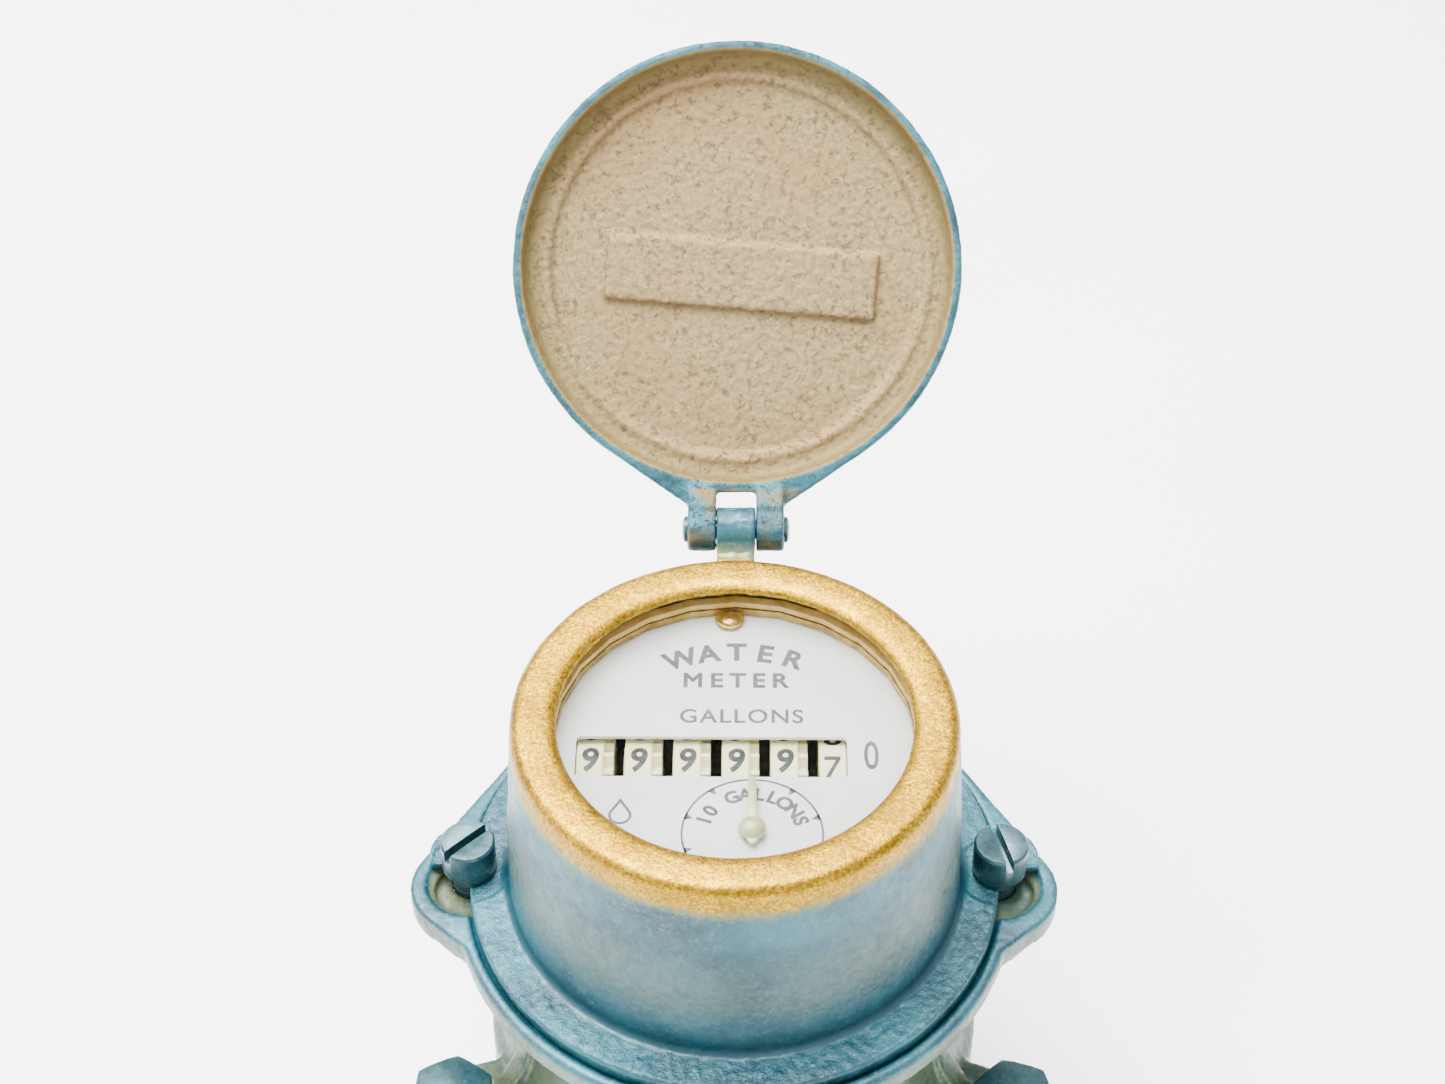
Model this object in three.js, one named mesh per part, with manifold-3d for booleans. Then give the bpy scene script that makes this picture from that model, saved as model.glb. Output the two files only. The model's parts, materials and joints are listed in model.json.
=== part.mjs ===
// Disc-type water meter: a register box with a hinged lid stands on a bolted two-part case.
// Millimetres, +Z up, +Y towards the lid hinge and the outlet, origin at the centre of the foot.
import * as THREE from "three";
import { mergeVertices } from "three/addons/utils/BufferGeometryUtils.js";
import Module from "manifold-3d";

const wasm = await Module();
wasm.setup();

// ---- Driving dimensions ----
const GAP = 0.3; // left between pieces that touch
const FINE = 40; // facets on the large round castings
const MID = 24; // facets on middle-sized round pieces
const SMALL = 12; // facets on pins, shafts and screws

const RING_TOP = 170; // top of the register box above the foot
const RING_R = 45;
const OPENING_R = 35.5; // sight opening
const BOX_BASE_R = 47.6;
const BOX_INNER_R = 43.5;
const FLANGE_TOP = 121.7;
const FLANGE_R = 55.9;
const FLANGE_BOTTOM = 117.7;

const RIM_TOP = 119.2; // seat of the register box on the top case
const RIM_R = 59.2;
const RIM_BOTTOM = 112.7;
const EAR_X = 56;
const EAR_Y = -2.7;
const EAR_R = 12.5;
const SCREW_R = 3.9;

const CASE_R = 54; // round part of the main flange
const SPLIT_Z = 66.5; // underside of the top case
const GASKET_T = 1.4;
const FRONT_LUG = [60.2, -30]; // centre of the front right case bolt, mirrored to the left
const REAR_LUG = [38, 55.5]; // the rear pair stands closer in, each side of the outlet
const LUG_R = 9.4;
const LUG_T = 9.5;
const BOLT_R = 5.5;
const HEX_R = 9.15; // 5/8 in across flats
const BOLT_HEAD_T = 6.7;
const NUT_T = 8;

const LAYING_LENGTH = 273; // spud end to spud end, 10 3/4 in
const SPUD_Z = 38;
const SPUD_R = 16.6; // 1 in straight pipe thread
const SPUD_BORE_R = 9.8;
const CAVITY_R = 46;

const PIN_Y = 56.5; // lid hinge
const PIN_Z = RING_TOP - 3.4;
const PIN_R = 2;
const KNUCKLE_HALF = 4;
const LID_R = 48.4;
const LID_LIP_R = 46;
const LID_OPEN = 132; // degrees from closed to the open stop

const DIAL_TOP = 160.2;
const WHEEL_R = 15.5;
const WHEEL_AXIS_Y = -3.2;
const WHEEL_AXIS_Z = 143.5;
const WHEEL_FIRST_X = -32;
const WHEEL_PITCH = 9.8;
const WHEELS = 6;
const BAND_W = 5.6; // figure band of a number wheel
const COG_W = 1.9; // toothed ring beside it
const POINTER_X = 3.5;
const POINTER_Y = -23.1;
const WORM_X = 27.4;
const WORM_Y = -16.4;
const REGISTER_GEAR_Z = 121.5;
const REGISTER_MODULE = 1.46; // tooth pitch / pi

const BALL_Z = 39; // centre of the nutating disc
const BALL_R = 9;
const DISC_R = 37.6;
const DISC_TILT = 12; // degrees, the slope of the chamber's cones
const CLUSTER_X = 21.6; // centre distance of the reduction gears
const REDUCTION_MODULE = (2 * CLUSTER_X) / 32;

// ---- Materials ----
const material = (color, roughness, metalness, more = {}) =>
  new THREE.MeshStandardMaterial({ color, roughness, metalness, ...more });
const paint = material(0x6fa7b1, 0.42, 0.25);
const bronze = material(0xb98a45, 0.45, 0.75);
const lidBronze = material(0xa08262, 0.7, 0.45);
const brass = material(0xc9ab66, 0.35, 0.85);
const steel = material(0x8d9092, 0.4, 0.9);
const rubber = material(0x232425, 0.85, 0);
const amberRubber = material(0xa88a4e, 0.6, 0);
const hardRubber = material(0x2c2a29, 0.55, 0);
const enamel = material(0xf2f4f1, 0.35, 0);
const wheelCream = material(0xe9e4c8, 0.5, 0);
const nickel = material(0xd9d6bd, 0.35, 0.5);
const glassMaterial = material(0xe6f0ee, 0.05, 0, { transparent: true, opacity: 0.25 });

// ---- Geometry helpers ----
const RAD = Math.PI / 180;
const BOTH = [-1, 1];

function signedVolume(position, index) {
  const [a, b, c] = [new THREE.Vector3(), new THREE.Vector3(), new THREE.Vector3()];
  let sum = 0;
  for (let i = 0; i < index.length; i += 3) {
    a.fromArray(position, 3 * index[i]);
    b.fromArray(position, 3 * index[i + 1]);
    c.fromArray(position, 3 * index[i + 2]);
    sum += a.dot(b.cross(c));
  }
  return sum / 6;
}

// A closed geometry as a solid whose faces point out.
function solidOf(geometry) {
  const loose = geometry.index ? geometry.toNonIndexed() : geometry;
  const bare = new THREE.BufferGeometry().setAttribute("position", loose.getAttribute("position"));
  const merged = mergeVertices(bare, 1e-4);
  const position = merged.getAttribute("position").array;
  const all = merged.index.array;
  const kept = [];
  for (let i = 0; i < all.length; i += 3) {
    const [a, b, c] = all.slice(i, i + 3);
    if (a !== b && b !== c && c !== a) kept.push(a, b, c);
  }
  if (signedVolume(position, kept) < 0) kept.reverse();
  const mesh = { numProp: 3, vertProperties: new Float32Array(position), triVerts: new Uint32Array(kept) };
  return new wasm.Manifold(new wasm.Mesh(mesh));
}

function geometryOf(solid) {
  const mesh = solid.getMesh();
  const position = new THREE.BufferAttribute(new Float32Array(mesh.vertProperties), 3);
  const made = new THREE.BufferGeometry().setAttribute("position", position);
  return made.setIndex(new THREE.BufferAttribute(new Uint32Array(mesh.triVerts), 1));
}

const join = (...pieces) => geometryOf(pieces.map(solidOf).reduce((a, b) => a.add(b)));
const cut = (body, ...tools) => geometryOf(tools.map(solidOf).reduce((a, b) => a.subtract(b), solidOf(body)));
const common = (a, b) => geometryOf(solidOf(a).intersect(solidOf(b)));

// A body of revolution about Z from a closed outline of [radius, height] corners.
function turned(outline, facets = MID) {
  const points = outline.map(([r, z]) => new THREE.Vector2(r, z));
  points.push(points[0].clone());
  return geometryOf(solidOf(new THREE.LatheGeometry(points, facets).rotateX(Math.PI / 2)));
}

const rod = (r, low, high, facets = SMALL) =>
  turned([[0, low], [r, low], [r, high], [0, high]], facets);
const tube = (inner, outer, low, high, facets = MID) =>
  turned([[inner, low], [outer, low], [outer, high], [inner, high]], facets);

function block(x0, x1, y0, y1, z0, z1) {
  const made = new THREE.BoxGeometry(x1 - x0, y1 - y0, z1 - z0);
  return made.translate((x0 + x1) / 2, (y0 + y1) / 2, (z0 + z1) / 2);
}

function prism(shape, low, high, curveSegments = 10) {
  const options = { depth: high - low, bevelEnabled: false, curveSegments };
  return new THREE.ExtrudeGeometry(shape, options).translate(0, 0, low);
}

// A prism whose shape is drawn in (Y, Z) and which runs along X from low to high.
const prismAlongX = (shape, low, high, curveSegments = 10) =>
  prism(shape, low, high, curveSegments).rotateX(Math.PI / 2).rotateZ(Math.PI / 2);

function polygon(corners) {
  return new THREE.Shape(corners.map(([x, y]) => new THREE.Vector2(x, y)));
}

function regularPolygon(sides, radius, turn = 0) {
  const angle = (i) => turn + (2 * Math.PI * i) / sides;
  const corner = (i) => [radius * Math.cos(angle(i)), radius * Math.sin(angle(i))];
  return polygon(Array.from({ length: sides }, (_, i) => corner(i)));
}

// The outline of two circles and their outer tangents.
function taper(x1, y1, r1, x2, y2, r2) {
  const along = Math.atan2(y2 - y1, x2 - x1);
  const lean = Math.acos((r1 - r2) / Math.hypot(x2 - x1, y2 - y1));
  const shape = new THREE.Shape();
  shape.absarc(x1, y1, r1, along + lean, along - lean + 2 * Math.PI, false);
  shape.absarc(x2, y2, r2, along - lean, along + lean, false);
  return shape;
}

// A spur gear with backlash; turn is the angle of the middle of one tooth gap.
function gear(teeth, modulus, low, high, bore = 0, turn = 0) {
  const step = (2 * Math.PI) / teeth;
  const root = (teeth / 2 - 1.2) * modulus;
  const tip = (teeth / 2 + 0.75) * modulus;
  const corners = [];
  for (let i = 0; i < teeth; i += 1) {
    for (const [share, r] of [[0.23, root], [0.38, tip], [0.62, tip], [0.77, root]]) {
      const a = turn + (i + share) * step;
      corners.push([r * Math.cos(a), r * Math.sin(a)]);
    }
  }
  const shape = polygon(corners);
  if (bore) shape.holes.push(new THREE.Path().absarc(0, 0, bore, 0, 2 * Math.PI, true));
  return prism(shape, low, high, 5);
}

// The turn of the second gear of a pair, whose centre lies at the angle towards from the first.
function meshed(turn, teeth, otherTeeth, towards) {
  const toothMiddle = turn + Math.PI / teeth;
  return towards + Math.PI - ((toothMiddle - towards) * teeth) / otherTeeth;
}

// ---- The tree ----
const meter = new THREE.Group();

function add(name, geometry, finish, parent = meter) {
  const mesh = new THREE.Mesh(geometryOf(solidOf(geometry)), finish);
  mesh.name = name;
  parent.add(mesh);
  return mesh;
}

function groupAt(x, y, z, parent = meter) {
  const group = new THREE.Group();
  group.position.set(x, y, z);
  parent.add(group);
  return group;
}

// Calls make(x, y, number) at each of the four case bolts.
function atBolts(make) {
  const places = [[-1, FRONT_LUG], [1, FRONT_LUG], [1, REAR_LUG], [-1, REAR_LUG]];
  return places.map(([side, [x, y]], index) => make(side * x, y, index + 1));
}

const lugWeb = (x, y, low, high) => prism(taper(0.62 * x, 0.62 * y, 7, x, y, LUG_R), low, high, 5);

// ---- Main case: foot, bowl, flange with four lugs, inlet and outlet spuds ----
const MAIN_TOP = SPLIT_Z - GASKET_T - 2 * GAP;

function spud(side) {
  const end = LAYING_LENGTH / 2;
  const outline = [
    [0, 40], [23.5, 40], [22.5, 70], [19.5, 92], [19.5, 106], [SPUD_R - 0.6, 107],
    [SPUD_R, 109], [SPUD_R, end - 1.5], [SPUD_R - 1.5, end], [0, end],
  ];
  return turned(outline, MID).rotateX(-side * 90 * RAD).translate(0, 0, SPUD_Z);
}

function mainCase() {
  const bowl = turned(
    [
      [0, 0], [31, 0], [33, 1.5], [35, 6], [44, 10], [50, 17], [52, 26],
      [52, 50], [CASE_R, 53.5], [CASE_R, MAIN_TOP], [0, MAIN_TOP],
    ],
    FINE,
  );
  const lugs = atBolts((x, y) => lugWeb(x, y, MAIN_TOP - LUG_T, MAIN_TOP));
  const spuds = BOTH.map(spud);
  const cavity = turned(
    [[0, 13], [40, 13], [CAVITY_R, 19], [CAVITY_R, MAIN_TOP + 1], [0, MAIN_TOP + 1]],
    FINE,
  );
  const bore = rod(SPUD_BORE_R, -LAYING_LENGTH, LAYING_LENGTH, 20).rotateX(90 * RAD).translate(0, 0, SPUD_Z);
  const holes = atBolts((x, y) => rod(BOLT_R + GAP, 40, 80).translate(x, y, 0));
  return cut(join(bowl, ...lugs, ...spuds), cavity, bore, ...holes);
}

// ---- Top case: flange, ribbed dome, neck, pressure wall with stuffing box, rim with two ears ----
const WALL_TOP = 112; // upper face of the pressure wall
const BOSS_TOP = 116.5;
const PACKING_R = 5.5;

function rib(x, y) {
  const shape = polygon([
    [40, SPLIT_Z + 5], [56, SPLIT_Z + 5], [57, SPLIT_Z + LUG_T], [51.5, 84], [47.5, 98], [40, 104],
  ]);
  return prismAlongX(shape, -2.6, 2.6).rotateZ(Math.atan2(y, x) - Math.PI / 2);
}

function topCase() {
  const shell = turned(
    [
      [44, SPLIT_Z], [CASE_R, SPLIT_Z], [CASE_R, 75], [52.5, 77], [49.5, 84], [47, 94], [46.4, 102],
      [47.4, 108], [51, 111.4], [RIM_R - 1, RIM_BOTTOM], [RIM_R, RIM_BOTTOM + 1], [RIM_R, RIM_TOP - 1],
      [RIM_R - 0.9, RIM_TOP], [FLANGE_R + 0.7, RIM_TOP], [FLANGE_R + 0.7, FLANGE_BOTTOM - GAP],
      [41, FLANGE_BOTTOM - GAP], [41, WALL_TOP], [9.5, WALL_TOP], [9.5, BOSS_TOP], [PACKING_R, BOSS_TOP],
      [PACKING_R, 108], [2.9, 108], [2.9, 102], [9, 102], [11, 105.5], [34, 105.5],
      [39.5, 101], [41, 90], [44, 76],
    ],
    FINE,
  );
  const ears = BOTH.map((side) => {
    const tip = [side * EAR_X, EAR_Y, EAR_R];
    const front = prism(taper(side * 43, EAR_Y + 1.2, 22, ...tip), RIM_BOTTOM, RIM_TOP);
    const fullBack = prism(taper(0, 0, RIM_R - 0.3, ...tip), RIM_BOTTOM, RIM_TOP);
    const back = cut(fullBack, block(-80, 80, -80, EAR_Y, 100, 130));
    const inside = rod(FLANGE_R + 0.7, FLANGE_BOTTOM - GAP, RIM_TOP + 1, FINE);
    return cut(join(front, back), inside, rod(50, RIM_BOTTOM - 1, RIM_TOP + 1, MID));
  });
  const lugs = atBolts((x, y) => cut(lugWeb(x, y, SPLIT_Z, SPLIT_Z + LUG_T), rod(47, 60, 80, MID)));
  const ribs = atBolts((x, y) => cut(rib(x, y), rod(44.5, 60, 110, MID)));
  const earHole = (radius, depth, sides) =>
    BOTH.map((side) => rod(radius, RIM_TOP - depth, RIM_TOP + 5, sides).translate(side * EAR_X, EAR_Y, 0));
  const recesses = [...earHole(8.8, 1.2, 20), ...earHole(6.2, 3.4, 16)];
  const screwHoles = BOTH.map((side) => rod(SCREW_R + GAP, 100, 125).translate(side * EAR_X, 0, 0));
  const boltHoles = atBolts((x, y) => rod(BOLT_R + GAP, 60, 82).translate(x, y, 0));
  return cut(join(shell, ...ears, ...lugs, ...ribs), ...recesses, ...screwHoles, ...boltHoles);
}

function caseGasket() {
  const low = MAIN_TOP + GAP;
  const lugs = atBolts((x, y) => lugWeb(x, y, low, low + GASKET_T));
  const holes = atBolts((x, y) => rod(BOLT_R + GAP, 60, 80).translate(x, y, 0));
  const ring = rod(CASE_R - 0.5, low, low + GASKET_T, MID);
  return cut(join(ring, ...lugs), rod(CAVITY_R, 60, 80, MID), ...holes);
}

function caseBolt() {
  const top = GAP + BOLT_HEAD_T;
  const head = prism(regularPolygon(6, HEX_R, 90 * RAD), GAP, top);
  const chamfer = turned([[0, 0], [HEX_R + 1, 0], [HEX_R + 0.2, 5.2], [7.9, top], [0, top]], 24);
  return join(common(head, chamfer), rod(BOLT_R, -35, 1));
}

const caseNut = () => cut(prism(regularPolygon(6, HEX_R, 0), -NUT_T, 0), rod(BOLT_R + GAP, -NUT_T - 1, 1));

add("main_case", mainCase(), paint);
add("top_case", topCase(), paint);
add("case_gasket", caseGasket(), rubber);
atBolts((x, y, number) => {
  const head = groupAt(x, y, SPLIT_Z + LUG_T);
  head.rotation.z = number * 37 * RAD; // the heads stop at unequal angles when they are tight
  if (number === 1) head.rotation.z = -4 * RAD;
  if (number === 2) head.rotation.z = 13 * RAD;
  add(`case_bolt_${number}`, caseBolt(), paint, head);
  add(`case_nut_${number}`, caseNut(), paint, groupAt(x, y, MAIN_TOP - LUG_T - GAP));
});

// ---- Register box: tapered wall with a rounded ring on top, flange with two lugs, hinge knuckle ----
function registerBox() {
  const shell = turned(
    [
      [BOX_INNER_R, FLANGE_BOTTOM], [FLANGE_R, FLANGE_BOTTOM], [FLANGE_R, FLANGE_TOP - 0.5],
      [FLANGE_R - 0.5, FLANGE_TOP], [BOX_BASE_R + 1.3, FLANGE_TOP], [BOX_BASE_R, FLANGE_TOP + 1.3],
      [46.6, 145], [45.2, 163], [RING_R, 167.6], [44.4, 169], [43, RING_TOP], [38.6, RING_TOP],
      [36.2, 169.4], [OPENING_R, 168.6], [OPENING_R, 167.5], [39, 167.5], [39, 160],
      [41.2, 158], [BOX_INNER_R, 122],
    ],
    FINE,
  );
  const lugs = BOTH.map((side) =>
    cut(
      rod(8, RIM_TOP + GAP, FLANGE_TOP, 20).translate(side * 57.5, 3.5, 0),
      block(-80, 80, -20, 0.4, 100, 130),
      rod(BOX_BASE_R - 1, 100, 130, MID),
    ),
  );
  const spotFace = () => rod(8.9, FLANGE_TOP - 0.8, FLANGE_TOP + 12, 20);
  const spotFaces = BOTH.map((side) => spotFace().translate(side * EAR_X, -1, 0));
  const outsideWall = spotFaces.map((tool) => cut(tool, rod(BOX_BASE_R + 0.3, 100, 150, FINE)));
  const screwNotches = BOTH.map((side) => rod(SCREW_R + GAP, 110, 125).translate(side * EAR_X, 0, 0));
  const arm = polygon([
    [43.5, PIN_Z - 1.2], [50.5, PIN_Z - 1.2], [PIN_Y, PIN_Z - 4.4], [52.5, PIN_Z - 6.5], [45.2, 146], [43.5, 146],
  ]);
  const knuckle = taper(PIN_Y, PIN_Z, 4.8, PIN_Y - 1.5, PIN_Z - 1.5, 4.6);
  const hinge = [arm, knuckle].map((shape) => prismAlongX(shape, -KNUCKLE_HALF, KNUCKLE_HALF));
  const pinHole = rod(PIN_R + GAP, -10, 10).rotateY(90 * RAD).translate(0, PIN_Y, PIN_Z);
  return cut(join(shell, ...lugs, ...hinge), ...outsideWall, ...screwNotches, pinHole);
}

function holdDownScrew(slotAngle) {
  const height = 8.2;
  const head = turned([[0, 0], [5.7, 0], [5.7, height - 0.6], [5.1, height], [0, height]], 20);
  const slot = block(-8, 8, -0.8, 0.8, height - 3.2, height + 1).rotateZ(slotAngle * RAD);
  return cut(join(head, rod(SCREW_R, -13, 1)), slot);
}

add("register_box", registerBox(), bronze);
add("hold_down_screw_left", holdDownScrew(44), paint, groupAt(-EAR_X, 0, FLANGE_TOP + GAP));
add("hold_down_screw_right", holdDownScrew(-75), paint, groupAt(EAR_X, 0, FLANGE_TOP + GAP));
add("glass", rod(38.6, 164.2, 167.2, 36), glassMaterial);
add("glass_gasket", tube(36.6, 38.5, 162.6, 163.9), amberRubber);
add("glass_retainer", tube(36.4, 38.6, 160.6, 162.3), brass);

// ---- Lid, drawn closed about its hinge pin and then turned to the open stop ----
function lid() {
  const centreY = -PIN_Y;
  const rim = RING_TOP - PIN_Z; // height of the ring's top above the pin
  const cap = turned(
    [
      [0, rim + 1.2], [40.6, rim + 1.2], [41, rim + 0.4], [44, rim + 0.4], [LID_LIP_R - 0.4, rim - 1],
      [LID_LIP_R, -0.6], [LID_R, -0.6], [LID_R, 4.4], [46.8, 6.4], [30, 7.9], [0, 8.8],
    ],
    FINE,
  ).translate(0, centreY, 0);
  const pad = block(-29.5, 29.5, -7.2, 7.2, rim + 0.4, rim + 2)
    .rotateZ(4 * RAD)
    .translate(0, centreY + 1.2, 0);
  const flare = cut(
    prism(taper(0, centreY, LID_R - 0.1, 0, -9.5, 9.8), -0.6, 4.8, 12),
    rod(LID_LIP_R + 0.2, -10, 10, FINE).translate(0, centreY, 0),
    block(-4.6, 4.6, -7.8, 5, -10, 10),
    block(-20, 20, -4.5, 10, -10, 10),
  );
  const ear = new THREE.Shape();
  ear.moveTo(-10.2, 5.2);
  ear.lineTo(-10.2, -0.6);
  ear.lineTo(-6, -2.6);
  ear.absarc(0, 0, 4.6, 215 * RAD, 450 * RAD, false);
  const ears = BOTH.map((side) => prismAlongX(ear, side < 0 ? -10.1 : 4.3, side < 0 ? -4.3 : 10.1));
  const pinHole = rod(PIN_R + GAP, -20, 20).rotateY(90 * RAD);
  return cut(join(cap, pad, flare, ...ears), pinHole);
}

function hingePin() {
  const shaft = rod(PIN_R, -10.6, 10.6);
  const heads = BOTH.map((side) => rod(2.9, 0, 1.1).translate(0, 0, side < 0 ? -11.5 : 10.4));
  return join(shaft, ...heads).rotateY(90 * RAD);
}

const lidGroup = groupAt(0, PIN_Y, PIN_Z);
lidGroup.rotation.x = -LID_OPEN * RAD;
add("lid", lid(), lidBronze, lidGroup);
add("hinge_pin", hingePin(), brass, lidGroup);

// ---- Register: plates, posts, dial, pointer, number wheels ----
function dialFace() {
  const plate = rod(38.4, DIAL_TOP - 0.8, DIAL_TOP, 40);
  const left = WHEEL_FIRST_X;
  const right = WHEEL_FIRST_X + WHEEL_PITCH * (WHEELS - 1) + BAND_W;
  const window = block(left, right, WHEEL_AXIS_Y - 5.3, WHEEL_AXIS_Y + 5.3, 150, 170);
  return cut(plate, window, rod(2, 150, 170).translate(POINTER_X, POINTER_Y, 0));
}

function registerPlate() {
  const plate = rod(43, 117.7, 119.2, 36);
  return cut(plate, rod(15, 110, 125, 20));
}

// A bracket with a bearing hole for the number shaft and a smaller one for the pinion shaft.
const COG_MODULE = 1.38;
const PINION_Y = WHEEL_AXIS_Y + 13.7;
const PINION_Z = WHEEL_AXIS_Z - 13.7;

function sidePlate(x, thickness) {
  const shape = polygon([
    [-3, 119.5], [15, 119.5], [15, 140], [5, 153], [-11, 153], [-15, 147], [-15, 133], [-3, 133],
  ]);
  const plate = prismAlongX(shape, x, x + thickness);
  const holes = [
    rod(2 + GAP, -60, 60).rotateY(90 * RAD).translate(0, WHEEL_AXIS_Y, WHEEL_AXIS_Z),
    rod(1.5 + GAP, -60, 60).rotateY(90 * RAD).translate(0, PINION_Y, PINION_Z),
  ];
  return cut(plate, ...holes);
}

// A wheel lies along X: figure band, then the toothed ring that turns its transfer pinion.
const PINION_AT = -45 * RAD; // from a wheel's centre to its pinion, in the wheel's own plane
function numberWheel() {
  const band = rod(WHEEL_R, 0, BAND_W, 24);
  const cogs = gear(20, COG_MODULE, BAND_W - 0.1, BAND_W + COG_W);
  return cut(join(band, cogs), rod(2 + GAP, -1, 10)).rotateY(90 * RAD);
}

add("dial_face", dialFace(), enamel);
add("register_plate", registerPlate(), brass);
add("side_plate_left", sidePlate(-36.2, 1.6), brass);
add("side_plate_right", sidePlate(30.5, 1.6), brass);
const POSTS = [[-3, 34], [-22, -29]];
POSTS.forEach(([x, y], i) => {
  add(`dial_post_${i + 1}`, rod(1.8, 119.5, DIAL_TOP - 1.1), brass, groupAt(x, y, 0));
});

function dialClip() {
  const tongue = taper(-1.2, 34.6, 3.2, -1.2, 35.4, 3.2);
  return common(prism(tongue, DIAL_TOP + GAP, DIAL_TOP + 2.2), rod(36.1, 150, 170, 36));
}
add("dial_clip", dialClip(), brass);

for (let i = 0; i < WHEELS; i += 1) {
  const x = WHEEL_FIRST_X + i * WHEEL_PITCH;
  add(`number_wheel_${i + 1}`, numberWheel(), wheelCream, groupAt(x, WHEEL_AXIS_Y, WHEEL_AXIS_Z));
  if (i === WHEELS - 1) continue;
  const pinion = gear(8, COG_MODULE, 0, 3.6, 1.5 + GAP, meshed(0, 20, 8, PINION_AT)).rotateY(90 * RAD);
  add(`transfer_pinion_${i + 1}`, pinion, nickel, groupAt(x + BAND_W + 0.3, PINION_Y, PINION_Z));
}
const alongX = (geometry) => geometry.rotateY(90 * RAD);
add("pinion_shaft", alongX(rod(1.5, -35.8, 31.7)), steel, groupAt(0, PINION_Y, PINION_Z));

// The number shaft turns with the last wheel and carries the worm wheel at its right end.
const numberAxis = groupAt(0, WHEEL_AXIS_Y, WHEEL_AXIS_Z);
add("number_shaft", alongX(rod(2, -36, 32)), steel, numberAxis);
add("worm_wheel", alongX(gear(24, 0.81, WORM_X - 1.5, WORM_X + 1.5, 2 + GAP)), brass, numberAxis);

const pointerTowards = Math.atan2(POINTER_Y, POINTER_X);
const wormTowards = Math.atan2(WORM_Y - POINTER_Y, WORM_X - POINTER_X);
const pointerGearTurn = meshed(0, 8, 24, pointerTowards);
const wormGearTurn = meshed(pointerGearTurn, 24, 10, wormTowards);
const registerGear = (teeth, bore, turn) =>
  gear(teeth, REGISTER_MODULE, REGISTER_GEAR_Z, REGISTER_GEAR_Z + 2.4, bore, turn);

const wormAxis = groupAt(WORM_X, WORM_Y, 0);
const wormBody = rod(2.6, WHEEL_AXIS_Z - 6, WHEEL_AXIS_Z + 6, 16);
add("worm_arbor", join(rod(1.6, 119.5, 156), wormBody), steel, wormAxis);
add("worm_gear", registerGear(10, 1.6 + GAP, wormGearTurn), brass, wormAxis);

const pointerAxis = groupAt(POINTER_X, POINTER_Y, 0);
add("pointer_arbor", rod(1.5, 119.5, 161), steel, pointerAxis);
add("pointer_gear", registerGear(24, 1.5 + GAP, pointerGearTurn), brass, pointerAxis);

function pointer() {
  const hub = turned([[0, 161.3], [2.6, 161.3], [2.7, 162.2], [1.9, 163.4], [0, 163.8]], 18);
  const hand = polygon([[-1.1, 0], [-0.55, 12.4], [0.55, 12.4], [1.1, 0], [0.9, -3.4], [-0.9, -3.4]]);
  return join(hub, prism(hand, 161.3, 162.1));
}
add("pointer", pointer(), nickel, pointerAxis);

// ---- Drive: stuffing box, spindle, reduction gears, driver ----
function glandNut() {
  const body = prism(regularPolygon(6, 13), WALL_TOP + GAP, 119.3);
  return cut(body, rod(9.5 + GAP, 100, 116.9, 20), rod(2.5 + GAP, 100, 130));
}
add("gland_nut", glandNut(), brass);
add("gland_packing", tube(2.5 + GAP, PACKING_R - GAP, 108.3, 116.2, 16), rubber);

add("drive_spindle", rod(2.5, 74, 125.5), steel);
add("spindle_pinion", registerGear(8, 2.5 + GAP, 0), brass);
add("output_gear", gear(24, REDUCTION_MODULE, 75, 78, 2.5 + GAP, Math.PI), brass);

const PLATE_Z = 67.5;
function gearPlate() {
  const plate = rod(43, PLATE_Z, PLATE_Z + 1.5, 32);
  return cut(plate, rod(2.2 + GAP, 60, 80), block(-50, 50, 25, 50, 60, 80), block(-50, 50, -50, -25, 60, 80));
}
add("gear_plate", gearPlate(), brass);
const clusterAxis = groupAt(CLUSTER_X, 0, 0);
add("cluster_stud", rod(1.8, PLATE_Z + 1.8, 80), steel, clusterAxis);
const cluster = cut(
  join(gear(24, REDUCTION_MODULE, 69.6, 73, 0, Math.PI), gear(8, REDUCTION_MODULE, 72.9, 78, 0, Math.PI / 8)),
  rod(1.8 + GAP, 60, 90),
);
add("cluster_gear", cluster, hardRubber, clusterAxis);

function driver() {
  const carrier = rod(10, 63, 65.5, 20);
  const dog = block(7.4, 9.4, -2, 2, 57.6, 64);
  return join(carrier, dog, rod(2.2, 65, 73.4), gear(8, REDUCTION_MODULE, 69.6, 73, 0, Math.PI / 8));
}
add("driver", driver(), hardRubber);

// ---- Measuring chamber and nutating disc ----
// Height of the chamber's conical face below or above the ball's centre at a radius.
const coneHeight = (r) => r * Math.tan(DISC_TILT * RAD) + 1.9;
const WALL_R = DISC_R + 0.6; // spherical side wall
const wallHeight = coneHeight(WALL_R * Math.cos(14 * RAD));
const wallRadius = Math.sqrt(WALL_R ** 2 - wallHeight ** 2);

function chamberHalf(side) {
  const z = (height) => BALL_Z + side * height;
  const onSocket = (a) => [(BALL_R + GAP) * Math.sin(a * RAD), z((BALL_R + GAP) * Math.cos(a * RAD))];
  const middle = side > 0 ? [[8, z(17)], onSocket(59.5)] : [[0, z(17)], ...[0, 12, 30, 48].map(onSocket)];
  const outline = [
    ...middle, onSocket(66),
    [9.2, z(coneHeight(9.2))], [wallRadius, z(wallHeight)], [WALL_R - 0.4, z(4)], [WALL_R, z(0.2)],
    [44, z(0.2)], [44, z(20.5)], [34, z(20.5)], [14, z(17)],
  ];
  const ports = BOTH.map((turn) =>
    block(30, 50, -5.5, 5.5, BALL_Z - 6, BALL_Z + 6).rotateZ(turn * 22 * RAD),
  );
  return cut(turned(outline, 36), ...ports, block(10, 42.5, -0.9, 0.9, 20, 58));
}
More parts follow.
